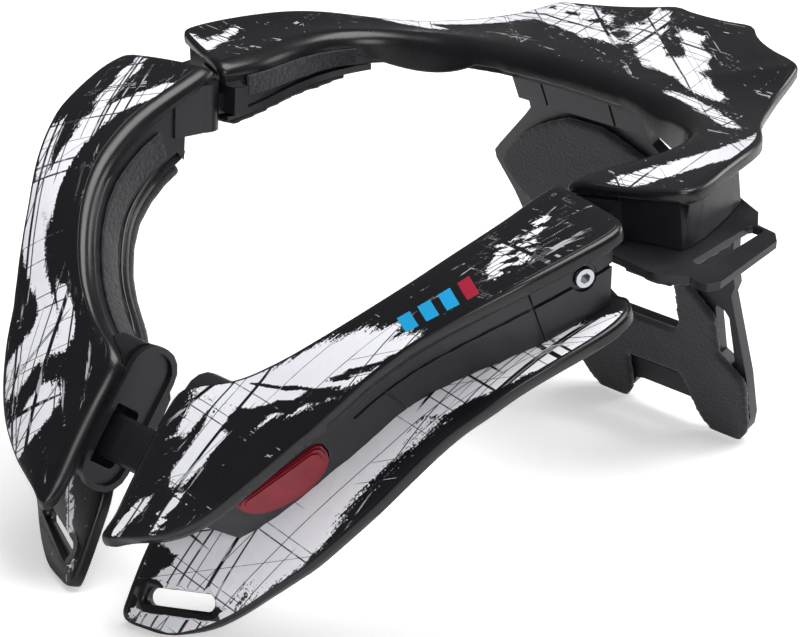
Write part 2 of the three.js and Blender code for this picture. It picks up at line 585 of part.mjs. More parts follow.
const cover = armDeck();
const chest = chestPlate();
const foam = chestPad();
const strip = loopStrip();
const screw = hexScrew();
const screwHole = turned(screwFrame(), 2.9 + GAP, -9 - GAP, 14).add(turned(screwFrame(), 4.4, -0.9, 14));
const shell = armBody().subtract(screwHole).subtract(armGrooves());
const pin = upright(PIVOT.x, PIVOT.y, PIVOT.pin, KNUCKLE_Z[0] + 0.4, KNUCKLE_Z[1] - 1.6);
add("left_arm_cover", cover, COLOR.print);
add("right_arm_cover", mirrored(cover), COLOR.print);
add("left_arm", shell.subtract(button(0.5, -BUTTON.tail - BUTTON.travel - 0.8, 14)), COLOR.plastic);
add("right_arm", mirrored(shell).subtract(receiverPocket()), COLOR.plastic);
add("left_chest_plate", chest, COLOR.print);
add("right_chest_plate", mirrored(chest), COLOR.print);
add("left_chest_pad", foam, COLOR.foam);
add("right_chest_pad", mirrored(foam), COLOR.foam);
add("left_loop_strip", strip, COLOR.strip);
add("right_loop_strip", mirrored(strip), COLOR.strip);
add("left_hex_screw", screw, COLOR.steel);
add("right_hex_screw", mirrored(screw), COLOR.steel);
add("left_hinge_pin", pin, COLOR.steel);
add("right_hinge_pin", mirrored(pin), COLOR.steel);
add("release_button", releaseButton(), COLOR.red);
add("latch_tongue", latchTongue(), COLOR.plastic);
add("latch_receiver", receiver(), COLOR.plastic);

export default root;
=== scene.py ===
"""Looks of a motocross neck brace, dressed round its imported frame.

The frame gives every piece's place and size. This script lofts the printed plates, swells the
foam pads, and gives each surface the finish of its real material. Lengths are in millimetres
until a mesh is finished, and the finished meshes are in metres.
"""

from __future__ import annotations

import json
import logging
import math
from dataclasses import dataclass, field
from enum import Enum
from typing import Iterable, NamedTuple, Sequence

import bmesh
import bpy
from mathutils import Matrix, Vector

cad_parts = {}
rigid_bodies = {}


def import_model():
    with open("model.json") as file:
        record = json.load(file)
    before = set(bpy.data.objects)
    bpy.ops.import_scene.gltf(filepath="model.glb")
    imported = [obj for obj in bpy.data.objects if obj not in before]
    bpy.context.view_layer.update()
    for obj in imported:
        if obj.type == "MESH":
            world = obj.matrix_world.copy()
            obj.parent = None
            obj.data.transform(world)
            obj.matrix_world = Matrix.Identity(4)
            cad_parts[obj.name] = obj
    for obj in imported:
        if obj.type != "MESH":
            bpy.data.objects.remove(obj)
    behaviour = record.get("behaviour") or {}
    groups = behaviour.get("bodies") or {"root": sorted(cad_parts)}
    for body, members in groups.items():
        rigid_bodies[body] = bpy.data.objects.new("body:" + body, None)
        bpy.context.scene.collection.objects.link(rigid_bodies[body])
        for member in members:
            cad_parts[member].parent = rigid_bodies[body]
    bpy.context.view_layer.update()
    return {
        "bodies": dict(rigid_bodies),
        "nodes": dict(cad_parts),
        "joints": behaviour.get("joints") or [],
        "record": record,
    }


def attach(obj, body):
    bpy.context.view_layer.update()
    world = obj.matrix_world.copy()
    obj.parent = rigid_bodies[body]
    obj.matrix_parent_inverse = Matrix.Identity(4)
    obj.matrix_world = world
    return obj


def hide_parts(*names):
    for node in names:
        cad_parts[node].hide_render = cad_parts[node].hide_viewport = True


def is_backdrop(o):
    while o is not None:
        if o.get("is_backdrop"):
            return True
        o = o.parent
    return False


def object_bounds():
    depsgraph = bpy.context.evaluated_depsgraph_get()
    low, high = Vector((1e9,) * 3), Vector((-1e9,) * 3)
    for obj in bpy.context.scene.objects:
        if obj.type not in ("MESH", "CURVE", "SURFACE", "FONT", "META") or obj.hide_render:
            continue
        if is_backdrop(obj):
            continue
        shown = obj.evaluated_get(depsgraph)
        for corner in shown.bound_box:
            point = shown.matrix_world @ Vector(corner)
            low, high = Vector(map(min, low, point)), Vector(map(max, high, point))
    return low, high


LOG = logging.getLogger("neck_brace")

MM = 0.001
# Moves the worn-in design frame of the tables to the resting frame of the pack
REST_SHIFT = Vector((0.0, -132.28, 2.895))


class Side(Enum):
    """Side of the wearer, with the sign of its X."""

    LEFT = 1
    RIGHT = -1

    @property
    def word(self) -> str:
        """Name prefix of the side's pieces."""
        return self.name.lower()

    @property
    def body(self) -> str:
        """Moving body of the side's front arm."""
        return f"{self.word}_front_arm"


class Row(NamedTuple):
    """One section of a plate: its neck edge and its outer edge."""

    inner: tuple[float, float, float]
    outer: tuple[float, float, float]


class Stroke(NamedTuple):
    """One brushed field of the print, in millimetres along and across its plate."""

    along: float
    across: float
    length: float
    width: float
    turn: float
    white: float


# Cover of a front arm, left side, front tip to rear end
ARM_COVER_ROWS = (
    Row((14.9, -8.9, 29.6), (18.2, -8.9, 30.4)),
    Row((14.0, -7.6, 31.3), (23.5, -6.9, 31.4)),
    Row((13.8, -5.6, 34.2), (30.5, -5.2, 33.3)),
    Row((13.8, -3.9, 36.9), (36.5, -3.8, 35.4)),
    Row((13.7, -2.1, 39.8), (42.7, -1.9, 38.6)),
    Row((13.7, 0.0, 43.2), (48.8, 0.3, 43.1)),
    Row((13.7, 2.6, 47.4), (54.1, 3.1, 48.4)),
    Row((13.7, 5.8, 52.3), (58.6, 6.3, 54.2)),
    Row((13.7, 10.2, 59.0), (63.9, 11.0, 61.4)),
    Row((13.7, 14.0, 64.3), (67.4, 14.8, 66.6)),
    Row((14.6, 18.2, 69.8), (70.7, 18.7, 71.6)),
    Row((18.5, 20.9, 72.8), (73.5, 21.3, 75.2)),
    Row((24.5, 22.6, 74.8), (76.2, 24.0, 79.2)),
    Row((31.0, 24.2, 77.1), (79.2, 26.9, 83.6)),
    Row((36.6, 26.0, 79.9), (82.1, 30.0, 88.2)),
    Row((42.2, 28.2, 83.6), (85.4, 33.5, 93.0)),
    Row((48.4, 31.6, 88.4), (88.8, 37.3, 97.7)),
    Row((55.0, 36.3, 94.4), (93.2, 41.8, 103.0)),
    Row((61.8, 42.4, 101.2), (98.5, 47.4, 108.5)),
    Row((67.8, 49.6, 107.9), (103.8, 53.9, 113.7)),
    Row((72.2, 57.2, 113.6), (108.2, 60.4, 118.1)),
    Row((75.0, 64.9, 118.3), (111.8, 67.0, 122.0)),
    Row((77.2, 73.0, 122.6), (114.8, 75.4, 125.8)),
    Row((78.6, 81.0, 126.1), (117.0, 83.3, 129.0)),
    Row((79.4, 89.4, 129.4), (118.4, 89.6, 131.3)),
    Row((79.7, 97.6, 132.6), (118.6, 94.4, 132.9)),
    Row((80.2, 104.0, 135.0), (117.6, 97.6, 134.1)),
    Row((81.4, 108.2, 136.4), (114.6, 99.9, 134.9)),
)
# Chest plate of a front arm, left side, bottom edge to rear end
CHEST_PLATE_ROWS = (
    Row((18.0, 1.0, -1.7), (27.0, 3.1, -1.6)),
    Row((14.4, 0.3, -0.8), (33.0, 5.0, -0.4)),
    Row((12.8, 0.6, 1.6), (39.0, 7.5, 2.2)),
    Row((12.5, 2.6, 5.8), (45.6, 10.8, 6.0)),
    Row((12.5, 5.0, 11.0), (53.0, 15.0, 12.0)),
    Row((12.7, 8.2, 17.6), (60.5, 18.2, 19.4)),
    Row((13.6, 12.3, 25.4), (66.5, 21.2, 25.6)),
    Row((16.8, 17.0, 33.0), (72.6, 24.4, 32.0)),
    Row((20.0, 22.3, 41.0), (80.0, 29.4, 42.0)),
    Row((23.0, 28.1, 49.4), (87.0, 35.4, 52.5)),
    Row((27.0, 34.4, 57.1), (92.5, 41.0, 62.0)),
    Row((32.5, 40.5, 62.8), (98.0, 46.2, 71.0)),
    Row((40.4, 44.9, 68.8), (103.4, 51.0, 78.6)),
    Row((51.2, 49.7, 75.6), (108.5, 56.4, 84.9)),
    Row((59.2, 54.5, 81.5), (113.0, 63.0, 91.2)),
    Row((67.2, 61.3, 88.8), (117.7, 71.4, 97.1)),
    Row((73.5, 68.9, 94.7), (121.3, 79.9, 101.8)),
    Row((78.0, 77.5, 99.9), (123.6, 87.6, 105.6)),
    Row((81.0, 86.4, 104.6), (124.0, 93.6, 108.2)),
    Row((82.3, 93.3, 107.6), (122.4, 98.6, 110.2)),
    Row((83.4, 97.8, 109.6), (117.6, 102.4, 112.0)),
)
# Rear cover, left front corner to the middle
REAR_COVER_HALF = (
    Row((83.4, 112.2, 135.9), (115.6, 122.9, 139.0)),
    Row((80.4, 113.9, 136.1), (118.3, 125.8, 139.6)),
    Row((79.3, 122.0, 136.8), (118.6, 129.8, 140.3)),
    Row((79.3, 130.0, 137.3), (117.3, 136.8, 141.3)),
    Row((80.6, 139.0, 138.0), (114.8, 144.9, 142.3)),
    Row((81.5, 148.0, 138.8), (112.2, 153.1, 143.0)),
    Row((81.3, 156.5, 139.4), (109.3, 161.6, 143.4)),
    Row((79.9, 163.8, 139.9), (105.5, 170.5, 143.3)),
    Row((77.0, 170.3, 140.3), (100.5, 179.0, 142.6)),
    Row((72.5, 176.3, 140.7), (94.0, 187.5, 141.5)),
    Row((67.0, 181.0, 141.0), (87.5, 195.0, 140.7)),
    Row((60.5, 184.8, 141.3), (81.5, 202.7, 140.2)),
    Row((54.0, 187.8, 141.5), (76.0, 211.2, 140.2)),
    Row((47.0, 189.8, 141.7), (70.5, 221.0, 140.6)),
    Row((41.0, 191.0, 141.8), (65.5, 230.5, 141.5)),
    Row((35.5, 191.9, 141.9), (61.5, 239.5, 142.8)),
    Row((30.5, 192.6, 142.0), (58.2, 247.5, 144.7)),
    Row((26.5, 193.0, 142.0), (55.6, 251.8, 146.0)),
    Row((22.8, 193.4, 142.0), (49.4, 255.6, 146.3)),
    Row((19.5, 193.6, 142.0), (42.0, 257.5, 146.9)),
    Row((16.0, 193.8, 142.0), (33.0, 261.4, 147.6)),
    Row((12.4, 194.0, 142.1), (25.0, 266.9, 148.3)),
    Row((9.0, 194.1, 142.1), (17.6, 273.2, 149.0)),
    Row((5.0, 194.2, 142.1), (9.0, 271.6, 149.0)),
    Row((0.0, 194.3, 142.1), (0.0, 271.0, 149.0)),
)


def mirrored(rows: Iterable[Row]) -> tuple[Row, ...]:
    """The same rows on the other side of the brace."""
    flip = lambda p: (-p[0], p[1], p[2])
    return tuple(Row(flip(r.inner), flip(r.outer)) for r in rows)


def linear(hex_colour: str) -> tuple[float, float, float, float]:
    """Turns an sRGB hex value into linear colour with full alpha.

    Args:
        hex_colour: Six hex digits after a hash.

    Returns:
        Red, green, blue and alpha, linear.
    """
    parts = [int(hex_colour[i : i + 2], 16) / 255 for i in (1, 3, 5)]
    lin = [c / 12.92 if c <= 0.04045 else ((c + 0.055) / 1.055) ** 2.4 for c in parts]
    return (*lin, 1.0)


def per_mm(spacing_mm: float) -> float:
    """Pattern scale, in repeats per metre, of a real spacing in millimetres."""
    return 1.0 / (spacing_mm * MM)


class Nodes:
    """A material's node tree with one way to add a node."""

    def __init__(self, name: str) -> None:
        """Starts a material with its shader and output.

        Args:
            name: Name of the material.
        """
        self.material = bpy.data.materials.new(name)
        self.material.use_nodes = True
        self.tree = self.material.node_tree
        self.tree.nodes.clear()
        self.shader = self.add("ShaderNodeBsdfPrincipled")
        self.add("ShaderNodeOutputMaterial", Surface=self.shader.outputs["BSDF"])
        self.object = self.add("ShaderNodeTexCoord").outputs["Object"]

    def add(self, kind: str, settings: dict | None = None, **inputs: object) -> bpy.types.Node:
        """Adds a node with its settings, values and links.

        Args:
            kind: Blender's name of the node.
            settings: Properties of the node itself.
            **inputs: Socket names, or i0, i1 and so on for a socket's number, with a value or an
                output socket to link.

        Returns:
            The new node.
        """
        node = self.tree.nodes.new(kind)
        for key, value in (settings or {}).items():
            setattr(node, key, value)
        for key, value in inputs.items():
            socket = node.inputs[int(key[1:])] if key[1:].isdigit() else node.inputs[key.replace("_", " ")]
            if isinstance(value, bpy.types.NodeSocket):
                self.tree.links.new(value, socket)
            else:
                socket.default_value = value
        return node

    def math(self, operation: str, *terms: object, clamp: bool = False) -> bpy.types.NodeSocket:
        """One sum, product, comparison or the like of sockets and numbers."""
        inputs = {f"i{n}": term for n, term in enumerate(terms)}
        settings = {"operation": operation, "use_clamp": clamp}
        return self.add("ShaderNodeMath", settings, **inputs).outputs[0]

    def noise(
        self, vector: object, scale: float, detail: float = 3.0, rough: float = 0.5
    ) -> bpy.types.NodeSocket:
        """Value of a noise texture at a vector."""
        return self.add(
            "ShaderNodeTexNoise", Vector=vector, Scale=scale, Detail=detail, Roughness=rough
        ).outputs[0]

    def turned(
        self, vector: object, turn_deg: float, scale: tuple[float, float, float], shift: float = 0.0
    ) -> object:
        """A vector turned in its plane, then stretched."""
        spin = (0, 0, math.radians(turn_deg))
        first = self.add(
            "ShaderNodeMapping", Vector=vector, Rotation=spin, Location=(shift, shift, 0)
        ).outputs[0]
        return self.add("ShaderNodeMapping", Vector=first, Scale=scale).outputs[0]

    def step(self, value: object, low: float, high: float) -> bpy.types.NodeSocket:
        """Ramps a value from 0 at low to 1 at high."""
        return self.add(
            "ShaderNodeMapRange", Value=value, From_Min=low, From_Max=high, To_Min=0.0, To_Max=1.0
        ).outputs[0]

    def mix(self, amount: object, first: object, second: object) -> bpy.types.NodeSocket:
        """Mixes two colours."""
        node = self.add("ShaderNodeMix", {"data_type": "RGBA"}, i0=amount, i6=first, i7=second)
        return node.outputs[2]

    def bump(self, height: object, depth_mm: float, under: object = None) -> bpy.types.NodeSocket:
        """A bump of a real depth, over another normal if one is given."""
        inputs = {"Height": height, "Strength": 1.0, "Distance": depth_mm * MM}
        if under is not None:
            inputs["Normal"] = under
        return self.add("ShaderNodeBump", **inputs).outputs[0]

    def shade(self, **inputs: object) -> None:
        """Sets values and links of the surface shader."""
        for key, value in inputs.items():
            socket = self.shader.inputs[key.replace("_", " ")]
            if isinstance(value, bpy.types.NodeSocket):
                self.tree.links.new(value, socket)
            else:
                socket.default_value = value


@dataclass(frozen=True)
class MouldedNylon:
    """Glass-filled nylon, injection moulded: near black, satin, with a fine spark-eroded grain."""

    name: str = "moulded_black_nylon"
    colour: str = "#17171B"
    worn: str = "#222228"
    roughness: float = 0.36
    ior: float = 1.53
    grain_mm: float = 0.5
    grain_depth_mm: float = 0.012

    def build(self) -> bpy.types.Material:
        """Makes the material."""
        n = Nodes(self.name)
        grain = n.noise(n.object, per_mm(self.grain_mm), 2.0)
        cloud = n.noise(n.object, per_mm(22.0), 4.0, 0.6)
        rough = n.add(
            "ShaderNodeMapRange", Value=cloud, From_Min=0.3, From_Max=0.7,
            To_Min=self.roughness - 0.06, To_Max=self.roughness + 0.07,
        ).outputs[0]
        n.shade(
            Base_Color=n.mix(n.step(cloud, 0.35, 0.75), linear(self.colour), linear(self.worn)),
            Roughness=rough, IOR=self.ior, Normal=n.bump(grain, self.grain_depth_mm),
        )
        return n.material


@dataclass(frozen=True)
class PrintedFilm:
    """Satin film over nylon, printed with brushed white fields and fine scratched lines on black."""

    name: str = "printed_film"
    white: str = "#F5F5FB"
    black: str = "#141418"
    rim: str = "#131316"
    accent: str = "#1E9FD6"
    second_accent: str = "#A3203A"
    bars_at_mm: float = 128.0
    bar_pitch_mm: float = 6.5
    bars_run_mm: float = 26.0
    bars_middle_mm: float = 24.0
    bar_half_height_mm: float = 5.5
    rim_mm: float = 2.1
    roughness: float = 0.27
    ior: float = 1.5
    line_mm: float = 0.6
    line_spacings_mm: tuple[float, ...] = (5.0, 7.0, 6.5, 14.0)
    line_turns_deg: tuple[float, ...] = (-9.0, 5.0, 72.0, 38.0)

    def build(self) -> bpy.types.Material:
        """Makes the material."""
        n = Nodes(self.name)
        film = n.add("ShaderNodeAttribute", {"attribute_name": "level"}).outputs["Vector"]
        run = n.add("ShaderNodeAttribute", {"attribute_name": "film"}).outputs["Vector"]
        paint = n.add("ShaderNodeAttribute", {"attribute_name": "paint"}).outputs["Fac"]
        turn = n.add("ShaderNodeAttribute", {"attribute_name": "turn"}).outputs["Fac"]
        edge = n.add("ShaderNodeAttribute", {"attribute_name": "edge"}).outputs["Fac"]
        # Dry brush: noise drawn out along the stroke, coarse for its outline and fine for bristles
        about_z = {"rotation_type": "Z_AXIS"}
        spun = n.add("ShaderNodeVectorRotate", about_z, Vector=film, Angle=turn).outputs[0]
        coarse = n.noise(n.turned(spun, 0, (0.035, 0.24, 1)), 1.0, 5.0, 0.62)
        bristle = n.noise(n.turned(spun, 0, (0.045, 1.5, 1), 7.0), 1.0, 3.0, 0.6)
        speck = n.noise(film, 1.15, 2.0, 0.7)
        ragged = n.math("MULTIPLY_ADD", n.math("SUBTRACT", coarse, 0.5), 1.7, paint)
        ragged = n.math("MULTIPLY_ADD", n.math("SUBTRACT", bristle, 0.5), 1.1, ragged)
        spatter = n.math("MULTIPLY", n.math("SUBTRACT", speck, 0.5), 1.1)
        field_white = n.step(n.math("ADD", ragged, spatter), -0.03, 0.03)
        # Scratched lines: evenly spaced, shifted by one noise and broken by another
        lines = 0.0
        for number, (gap, angle) in enumerate(zip(self.line_spacings_mm, self.line_turns_deg)):
            level = n.add("ShaderNodeSeparateXYZ", Vector=n.turned(film, angle, (1, 1, 1))).outputs["Y"]
            uneven = n.noise(n.turned(film, angle, (0.0005, 0.13, 1), 11.0 * number), 1.0, 2.0)
            phase = n.math("MULTIPLY_ADD", uneven, 3.0, n.math("DIVIDE", level, gap))
            near = n.math("ABSOLUTE", n.math("SUBTRACT", n.math("FRACT", phase), 0.5))
            half = self.line_mm / 2 / gap
            thin = n.math("SUBTRACT", 1.0, n.step(near, half * 0.7, half * 1.4))
            slow = n.noise(n.turned(film, angle, (0.009, 0.05, 1), 3.0 * number), 1.0, 0.6)
            breaks = n.step(slow, 0.49, 0.5)
            lines = n.math("MAXIMUM", n.math("MULTIPLY", thin, breaks), lines)
        white = n.math("MULTIPLY", field_white, n.math("SUBTRACT", 1.0, lines))
        faint = n.math("MULTIPLY", lines, n.step(coarse, 0.56, 0.6))
        white = n.math("MAXIMUM", white, n.math("MULTIPLY", faint, 0.5))
        colour = n.mix(white, linear(self.black), linear(self.white))
        colour = self.accent_bars(n, run, colour)
        on_film = n.step(edge, self.rim_mm - 0.08, self.rim_mm + 0.08)
        peel = n.noise(film, 0.55, 2.0)
        rough = n.add(
            "ShaderNodeMapRange", Value=n.noise(film, 0.05, 3.0), From_Min=0.3, From_Max=0.7,
            To_Min=self.roughness - 0.05, To_Max=self.roughness + 0.06,
        ).outputs[0]
        height = n.math("MULTIPLY_ADD", peel, 0.12, on_film)
        n.shade(
            Base_Color=n.mix(on_film, linear(self.rim), colour), Roughness=rough,
            IOR=self.ior, Normal=n.bump(height, 0.06),
        )
        return n.material


    def accent_bars(self, n: Nodes, run: object, under: object) -> bpy.types.NodeSocket:
        """Short slanted bars in two accent colours, where a plate's bars attribute is 1."""
        marked = n.add("ShaderNodeAttribute", {"attribute_name": "bars"}).outputs["Fac"]
        place = n.add("ShaderNodeSeparateXYZ", Vector=run)
        along, across = place.outputs["X"], place.outputs["Y"]
        lean = n.math("SUBTRACT", n.math("MULTIPLY_ADD", across, 0.6, along), self.bars_at_mm)
        beat = n.math("LESS_THAN", n.math("FRACT", n.math("DIVIDE", lean, self.bar_pitch_mm)), 0.62)
        started = n.math("GREATER_THAN", lean, 0.0)
        inside = n.math("MULTIPLY", started, n.math("LESS_THAN", lean, self.bars_run_mm))
        off_middle = n.math("ABSOLUTE", n.math("SUBTRACT", across, self.bars_middle_mm))
        high = n.math("LESS_THAN", off_middle, self.bar_half_height_mm)
        shape = n.math("MULTIPLY", n.math("MULTIPLY", beat, inside), n.math("MULTIPLY", high, marked))
        last = n.math("GREATER_THAN", lean, self.bars_run_mm - self.bar_pitch_mm)
        tint = n.mix(last, linear(self.accent), linear(self.second_accent))
        return n.mix(shape, under, tint)


@dataclass(frozen=True)
class KnitFoam:
    """Moulded foam under a charcoal knit: matt, with a fine weave and a soft fuzz."""

    name: str = "charcoal_knit"
    colour: str = "#1A1A1D"
    high: str = "#34343A"
    weave_mm: float = 1.3
    weave_depth_mm: float = 0.16

    def build(self) -> bpy.types.Material:
        """Makes the material."""
        n = Nodes(self.name)
        cells = n.add(
            "ShaderNodeTexVoronoi", {"feature": "F1"}, Vector=n.object, Scale=per_mm(self.weave_mm)
        ).outputs["Distance"]
        fuzz = n.noise(n.object, per_mm(0.7), 4.0, 0.7)
        cloud = n.noise(n.object, per_mm(14.0), 4.0, 0.6)
        height = n.math("MULTIPLY_ADD", fuzz, 0.6, cells)
        tone = n.math("MULTIPLY_ADD", cloud, 0.35, n.math("MULTIPLY", fuzz, 0.65))
        n.shade(
            Base_Color=n.mix(n.step(tone, 0.35, 0.75), linear(self.colour), linear(self.high)),
            Roughness=0.92, IOR=1.45, Sheen_Weight=0.25, Sheen_Roughness=0.5,
            Normal=n.bump(height, self.weave_depth_mm),
        )
        return n.material


@dataclass(frozen=True)
class LoopTape:
    """Woven loop tape: black nylon loops standing in a dense, fuzzy pile."""

    name: str = "loop_tape"
    colour: str = "#0D0D0F"
    high: str = "#2D2D33"
    loop_mm: float = 1.6
    pile_mm: float = 0.45

    def build(self) -> bpy.types.Material:
        """Makes the material."""
        n = Nodes(self.name)
        loops = n.noise(n.object, per_mm(self.loop_mm), 5.0, 0.75)
        cells = n.add(
            "ShaderNodeTexVoronoi", {"feature": "SMOOTH_F1"}, Vector=n.object, Scale=per_mm(self.loop_mm)
        ).outputs["Distance"]
        height = n.math("MULTIPLY_ADD", cells, -0.8, n.math("MULTIPLY", loops, 1.4))
        n.shade(
            Base_Color=n.mix(n.step(loops, 0.4, 0.68), linear(self.colour), linear(self.high)),
            Roughness=0.95, IOR=1.5, Sheen_Weight=0.2, Normal=n.bump(height, self.pile_mm),
        )
        return n.material


@dataclass(frozen=True)
class PlatedSteel:
    """Steel screw or pin: turned, then plated bright, with faint turning marks."""

    name: str = "plated_steel"
    colour: str = "#C9CACE"
    roughness: float = 0.16

    def build(self) -> bpy.types.Material:
        """Makes the material."""
        n = Nodes(self.name)
        marks = n.noise(n.object, per_mm(0.35), 2.0)
        rough = n.add(
            "ShaderNodeMapRange", Value=marks, To_Min=self.roughness - 0.05, To_Max=self.roughness + 0.08
        ).outputs[0]
        n.shade(Base_Color=linear(self.colour), Metallic=1.0, Roughness=rough, Normal=n.bump(marks, 0.004))
        return n.material


@dataclass(frozen=True)
class RedButtonPlastic:
    """Red ABS button: moulded, through-coloured, with a fine satin grain."""

    name: str = "red_abs"
    colour: str = "#7C0F20"
    high: str = "#8C1526"

    def build(self) -> bpy.types.Material:
        """Makes the material."""
        n = Nodes(self.name)
        grain = n.noise(n.object, per_mm(0.4), 2.0)
        cloud = n.noise(n.object, per_mm(6.0), 3.0)
        n.shade(
            Base_Color=n.mix(n.step(cloud, 0.35, 0.7), linear(self.colour), linear(self.high)),
            Roughness=0.4, IOR=1.53, Normal=n.bump(grain, 0.02),
        )
        return n.material


def spline(points: Sequence[Vector], steps: int) -> list[Vector]:
    """Runs a smooth curve through points.

    Args:
        points: Points that the curve meets.
        steps: Stretches between one point and the next.

    Returns:
        Points along the curve, both ends included.
    """
    path = []
    last = len(points) - 1
    for i in range(last):
        before, here, there, after = (points[min(max(i + k, 0), last)] for k in (-1, 0, 1, 2))
        for step in range(steps):
            t = step / steps
            path.append(
                0.5 * (
                    2 * here + (there - before) * t
                    + (2 * before - 5 * here + 4 * there - after) * t**2
                    + (3 * here - before - 3 * there + after) * t**3
                )
            )
    return path + [points[last].copy()]


def finished(
    bm: bmesh.types.BMesh, name: str, materials: Sequence[bpy.types.Material], smooth_deg: float = 40
) -> bpy.types.Object:
    """Turns a mesh in millimetres of the design frame into a finished object.

    Args:
        bm: The mesh, which is freed.
        name: Name of the piece.
        materials: Its materials, in the order of its faces' indices.
        smooth_deg: Edges sharper than this stay sharp.

    Returns:
        The object, at the origin, with its place in its mesh.
    """
    bmesh.ops.transform(bm, matrix=Matrix.Scale(MM, 4) @ Matrix.Translation(REST_SHIFT), verts=bm.verts[:])
    bmesh.ops.recalc_face_normals(bm, faces=bm.faces[:])
    mesh = bpy.data.meshes.new(name)
    bm.to_mesh(mesh)
    bm.free()
    for material in materials:
        mesh.materials.append(material)
    mesh.shade_smooth()
    mesh.set_sharp_from_angle(angle=math.radians(smooth_deg))
    piece = bpy.data.objects.new(name, mesh)
    bpy.context.scene.collection.objects.link(piece)
    return piece


@dataclass
class PrintedPlate:
    """A moulded plate with a rounded rim and a printed film on its face."""

    name: str
    node: str
    rows: tuple[Row, ...]
    body: str
    strokes: tuple[Stroke, ...]
    thickness: float = 4.5
    rim: float = 1.6
    lip: float = 2.2
    crown: float = 0.5
    skirt: float = 0.0
    corner_skirt: float = 0.0
    corner_x: float = 58.0
    corner_reach: float = 19.0
    skirt_taper: float = 30.0
    neck_band: float = 0.0
    bars: bool = False
    steps: int = 3
    cells: int = 10

    def sections(self) -> list[tuple[Vector, Vector, Vector, float, float]]:
        """Smooth sections: neck edge, direction across, direction up, width and length so far."""
        inner = spline([Vector(r.inner) for r in self.rows], self.steps)
        outer = spline([Vector(r.outer) for r in self.rows], self.steps)
        middle = [(a + b) / 2 for a, b in zip(inner, outer)]
        found = []
        length = 0.0
        for i, (a, b) in enumerate(zip(inner, outer)):
            across = (b - a).normalized()
            ahead = middle[min(i + 2, len(middle) - 1)] - middle[max(i - 2, 0)]
            up = across.cross(ahead).normalized()
            if up.z < 0:
                up.negate()
            if i:
                length += (middle[i] - middle[i - 1]).length
            found.append((a, across, up, (b - a).length, length))
        return found

    def profile(self, width: float, shrink: float, skirt: float) -> list[tuple[float, float]]:
        """Outline of one section.

        Args:
            width: Width of the plate there.
            shrink: How far the face has dropped towards a rounded end.
            skirt: How far the neck edge reaches below the plate.

        Returns:
            Distance across and height of each point, in turn round the section.
        """
        small = min(self.rim, width * 0.3)
        lip = min(self.lip, width * 0.2)
        top = -shrink
        bottom = -self.thickness + min(shrink, self.thickness * 0.3)
        points = []
        for k in range(5):
            turn = math.pi / 2 * k / 4
            drop = min(lip, (top - bottom) * 0.75 + skirt * 0.5)
            points.append((lip - lip * math.cos(turn), top - drop + drop * math.sin(turn)))
        span = width - lip - small
        for k in range(1, self.cells):
            t = k / self.cells
            points.append((lip + span * t, top + self.crown * math.sin(math.pi * t) * min(1.0, width / 30)))
        for k in range(5):
            turn = math.pi / 2 * k / 4
            points.append((width - small + small * math.sin(turn), top - small + small * math.cos(turn)))
        points += [(width, bottom + 0.5), (width - 0.5, bottom), (width * 0.5, bottom)]
        foot = bottom - skirt
        points += [(min(3.0, width * 0.4), bottom), (min(2.5, width * 0.3), foot)]
        points += [(0.5, foot), (0.0, foot + 0.5)]
        return points

    def painted(self, along: float, across: float) -> tuple[float, float]:
        """White of the print, from -1 to 1, and the turn of its strokes, at a place on the film."""
        value, turn, nearest = -0.9, 0.0, 1e9
        for s in self.strokes:
            angle = math.radians(s.turn)
            x, y = along - s.along, across - s.across
            u = (x * math.cos(angle) + y * math.sin(angle)) / (s.length / 2)
            v = (-x * math.sin(angle) + y * math.cos(angle)) / (s.width / 2)
            far = (u**4 + v**4) ** 0.25
            if far < nearest:
                nearest, turn = far, angle
            inside = max(-1.0, min(1.0, (1.0 - far) * 2.2))
            if s.white > 0:
                value = max(value, inside * s.white)
            elif inside > 0:
                value = min(value, value + (s.white - value) * min(1.0, inside * 2))
        return value, turn

    def loft(self) -> bmesh.types.BMesh:
        """Builds the plate through its sections, with the film's coordinates on its points."""
        bm = bmesh.new()
        film = bm.verts.layers.float_vector.new("film")
        level = bm.verts.layers.float_vector.new("level")
        paint = bm.verts.layers.float.new("paint")
        turn = bm.verts.layers.float.new("turn")
        edge = bm.verts.layers.float.new("edge")
        bars = bm.verts.layers.float.new("bars")
        sections = self.sections()
        total = sections[-1][4]
        start = sections[0][0]
        chord = (sections[-1][0] - start).normalized()
        side = sections[len(sections) // 2][2].cross(chord).normalized()
        rings = []
        for a, across, up, width, length in sections:
            from_end = min(length, total - length)
            near = max(0.0, 1.0 - from_end / self.rim)
            shrink = self.rim * (1 - math.sqrt(max(0.0, 1 - near**2))) * 0.7
            ring = []
            corner = max(0.0, 1 - ((abs(a.x) - self.corner_x) / self.corner_reach) ** 2)
            skirt = (self.skirt + self.corner_skirt * corner) * min(1.0, from_end / self.skirt_taper)
            for s, h in self.profile(width, shrink, skirt):
                vert = bm.verts.new(a + across * s + up * h)
                vert[film] = Vector((length, s, 0.0))
                vert[bars] = float(self.bars)
                vert[level] = Vector(((vert.co - start).dot(chord), (vert.co - start).dot(side), 0.0))
                vert[paint], vert[turn] = self.painted(length, s)
                inward = min(s - self.neck_band, width - s, from_end)
                vert[edge] = inward if h > -self.thickness / 2 else 0.0
                ring.append(vert)
            rings.append([bm.edges.new((p, ring[i - 1])) for i, p in enumerate(ring)])
        for first, second in zip(rings, rings[1:]):
            bmesh.ops.bridge_loops(bm, edges=first + second)
        bmesh.ops.holes_fill(bm, edges=rings[0] + rings[-1], sides=0)
        return bm

    def build(self, materials: Sequence[bpy.types.Material]) -> bpy.types.Object:
        """Makes the piece and puts it in place of its node."""
        piece = finished(self.loft(), self.name, materials)
        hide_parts(self.node)
        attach(piece, self.body)
        return piece


